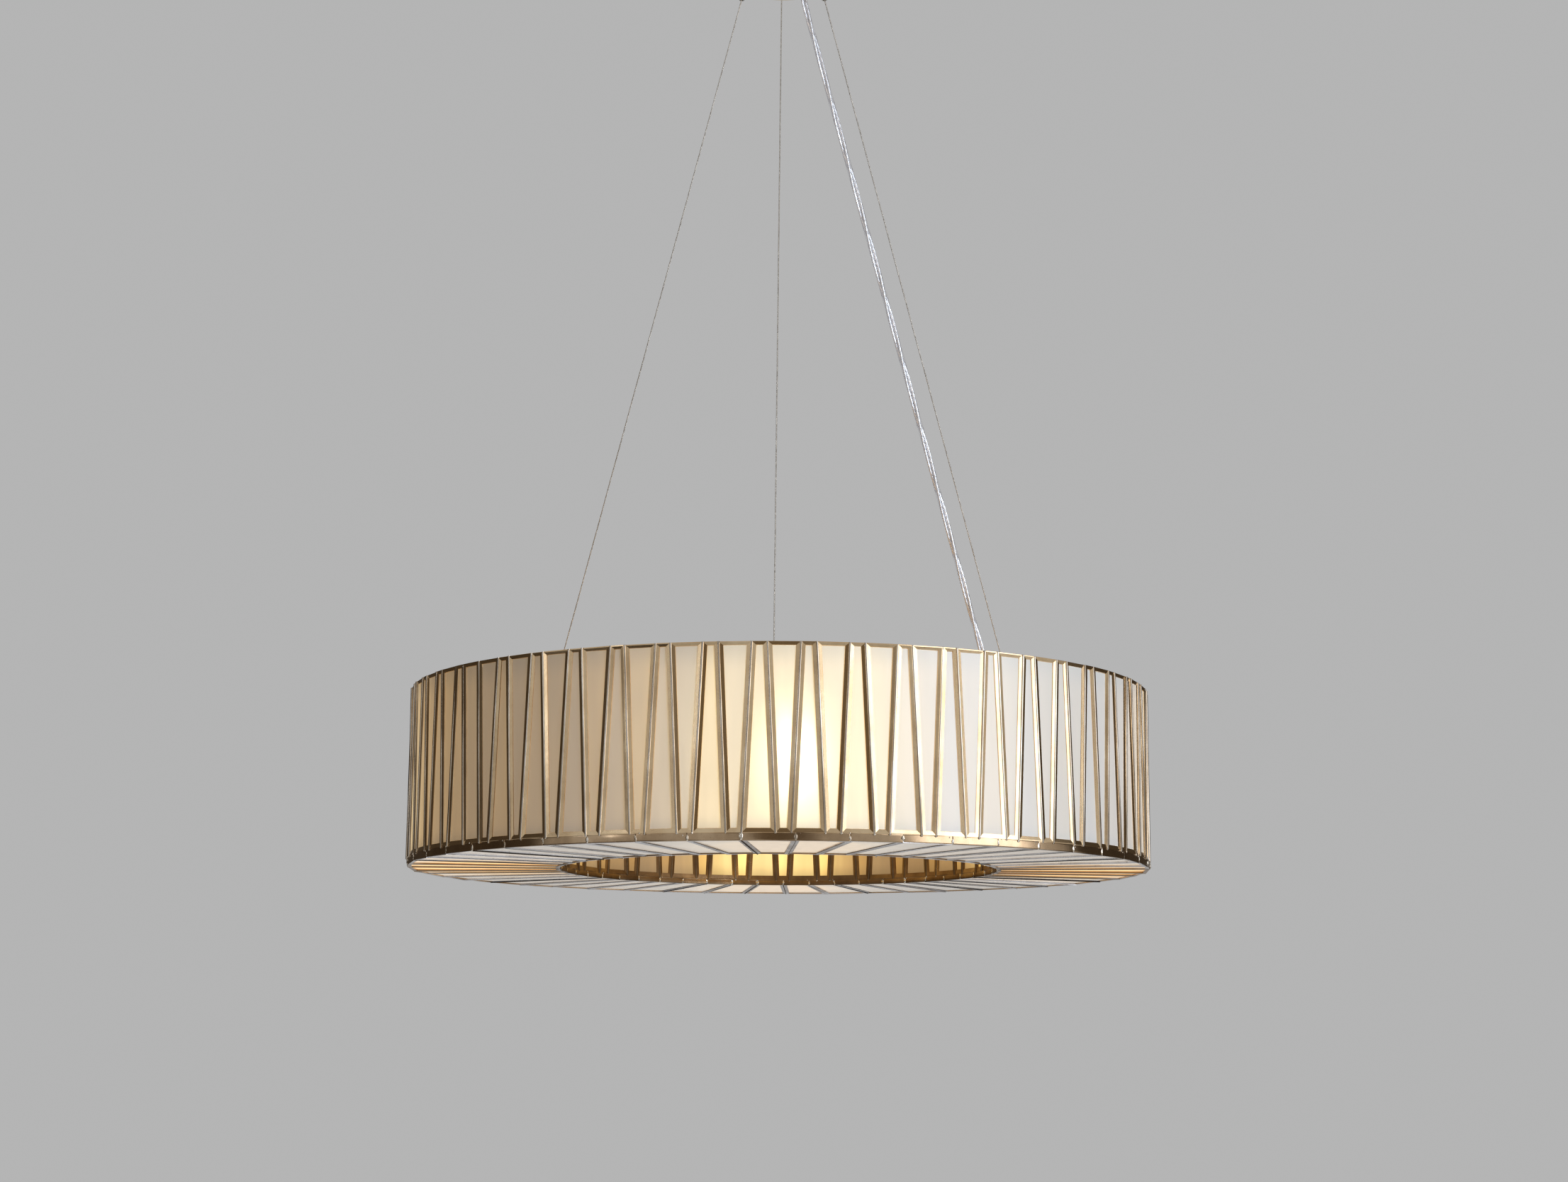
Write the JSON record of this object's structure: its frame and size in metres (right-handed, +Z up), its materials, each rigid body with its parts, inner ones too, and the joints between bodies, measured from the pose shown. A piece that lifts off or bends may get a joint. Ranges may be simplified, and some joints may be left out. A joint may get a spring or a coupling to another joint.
{
  "type": "ring chandelier",
  "caption": "Drum-shaped ring chandelier of tapered opal glass panes in brass came, with a framed glass underside, hung on thin steel cables from a round ceiling canopy.",
  "frame": {"origin": "centre of the ceiling strap's top face, which lies against the ceiling; the light hangs below it", "axes": "+Z up, square to the ceiling and along the ring's axis; -Y towards the side that the picture shows as the front; +X to the right seen from there"},
  "size_m": [0.9144, 0.9144, 1.208],
  "materials": {
    "aged_brass": "satin, aged, with bright and dark seams",
    "opal_glass": "glossy opal, slightly cloudy",
    "satin_nickel": "satin",
    "cable_steel": "stranded, bare",
    "porcelain": "glazed",
    "frosted_bulb": "frosted, lit warm white",
    "contact_metal": "dull",
    "clear_jacket": "clear jacket over bright conductors",
    "gland_plastic": "translucent, matte"
  },
  "bodies": {
    "root": {"outer_came": "aged_brass", "inner_came": "aged_brass", "bottom_came": "aged_brass", "outer_hoop": "aged_brass", "inner_hoop": "aged_brass", "crossbar_1": "aged_brass", "crossbar_2": "aged_brass", "crossbar_3": "aged_brass", "crossbar_4": "aged_brass", "carrier_ring": "aged_brass", "lamp_nipple_1": "aged_brass", "lamp_nipple_2": "aged_brass", "lamp_nipple_3": "aged_brass", "lamp_nipple_4": "aged_brass", "splice_housing": "aged_brass", "cable_coupler_1": "aged_brass", "cable_coupler_2": "aged_brass", "cable_coupler_3": "aged_brass", "canopy_cover": "aged_brass", "canopy_cap_nut_1": "aged_brass", "canopy_cap_nut_2": "aged_brass", "cord_grip": "aged_brass", "outer_glass": "opal_glass", "inner_glass": "opal_glass", "bottom_glass": "opal_glass", "ceiling_strap": "satin_nickel", "cable_gripper_1": "satin_nickel", "cable_gripper_2": "satin_nickel", "cable_gripper_3": "satin_nickel", "gripper_locknut_1": "satin_nickel", "gripper_locknut_2": "satin_nickel", "gripper_locknut_3": "satin_nickel", "suspension_cable_1": "cable_steel", "suspension_cable_2": "cable_steel", "suspension_cable_3": "cable_steel", "lampholder_1": "porcelain", "lampholder_2": "porcelain", "lampholder_3": "porcelain", "lampholder_4": "porcelain", "terminal_block": "porcelain", "power_cord": "clear_jacket", "supply_tail": "clear_jacket", "lamp_lead": "clear_jacket", "cord_gland": "gland_plastic"},
    "plunger_1": {"release_plunger_1": "satin_nickel"},
    "plunger_2": {"release_plunger_2": "satin_nickel"},
    "plunger_3": {"release_plunger_3": "satin_nickel"},
    "bulb_1_travel": {"bulb_contact_1": "contact_metal"},
    "bulb_1_turn": {"bulb_1": "frosted_bulb"},
    "bulb_2_travel": {"bulb_contact_2": "contact_metal"},
    "bulb_2_turn": {"bulb_2": "frosted_bulb"},
    "bulb_3_travel": {"bulb_contact_3": "contact_metal"},
    "bulb_3_turn": {"bulb_3": "frosted_bulb"},
    "bulb_4_travel": {"bulb_contact_4": "contact_metal"},
    "bulb_4_turn": {"bulb_4": "frosted_bulb"}
  },
  "joints": [
    {"name": "plunger_1_press", "type": "slide", "parent": "root", "child": "plunger_1", "axis": [0, 0, 1], "range_m": [0, 0.002], "stiffness_N_per_m": 200, "springref_m": -0.005},
    {"name": "plunger_2_press", "type": "slide", "parent": "root", "child": "plunger_2", "axis": [0, 0, 1], "range_m": [0, 0.002], "stiffness_N_per_m": 200, "springref_m": -0.005},
    {"name": "plunger_3_press", "type": "slide", "parent": "root", "child": "plunger_3", "axis": [0, 0, 1], "range_m": [0, 0.002], "stiffness_N_per_m": 200, "springref_m": -0.005},
    {"name": "bulb_1_travel", "type": "slide", "parent": "root", "child": "bulb_1_travel", "axis": [0, 0, -1], "range_m": [0, 0.0109]},
    {"name": "bulb_1_unscrew", "type": "hinge", "parent": "bulb_1_travel", "child": "bulb_1_turn", "pos_m": [0.01457, -0.36271, -1.08], "axis": [0, 0, -1], "range_deg": [0, 1080]},
    {"name": "bulb_2_travel", "type": "slide", "parent": "root", "child": "bulb_2_travel", "axis": [0, 0, -1], "range_m": [0, 0.0109]},
    {"name": "bulb_2_unscrew", "type": "hinge", "parent": "bulb_2_travel", "child": "bulb_2_turn", "pos_m": [0.36271, 0.01457, -1.08], "axis": [0, 0, -1], "range_deg": [0, 1080]},
    {"name": "bulb_3_travel", "type": "slide", "parent": "root", "child": "bulb_3_travel", "axis": [0, 0, -1], "range_m": [0, 0.0109]},
    {"name": "bulb_3_unscrew", "type": "hinge", "parent": "bulb_3_travel", "child": "bulb_3_turn", "pos_m": [-0.01457, 0.36271, -1.08], "axis": [0, 0, -1], "range_deg": [0, 1080]},
    {"name": "bulb_4_travel", "type": "slide", "parent": "root", "child": "bulb_4_travel", "axis": [0, 0, -1], "range_m": [0, 0.0109]},
    {"name": "bulb_4_unscrew", "type": "hinge", "parent": "bulb_4_travel", "child": "bulb_4_turn", "pos_m": [-0.36271, -0.01457, -1.08], "axis": [0, 0, -1], "range_deg": [0, 1080]}
  ],
  "couplings": [
    {"joint": "bulb_1_travel", "follows": "bulb_1_unscrew", "m_per_rad": 0.0005775},
    {"joint": "bulb_2_travel", "follows": "bulb_2_unscrew", "m_per_rad": 0.0005775},
    {"joint": "bulb_3_travel", "follows": "bulb_3_unscrew", "m_per_rad": 0.0005775},
    {"joint": "bulb_4_travel", "follows": "bulb_4_unscrew", "m_per_rad": 0.0005775}
  ]
}
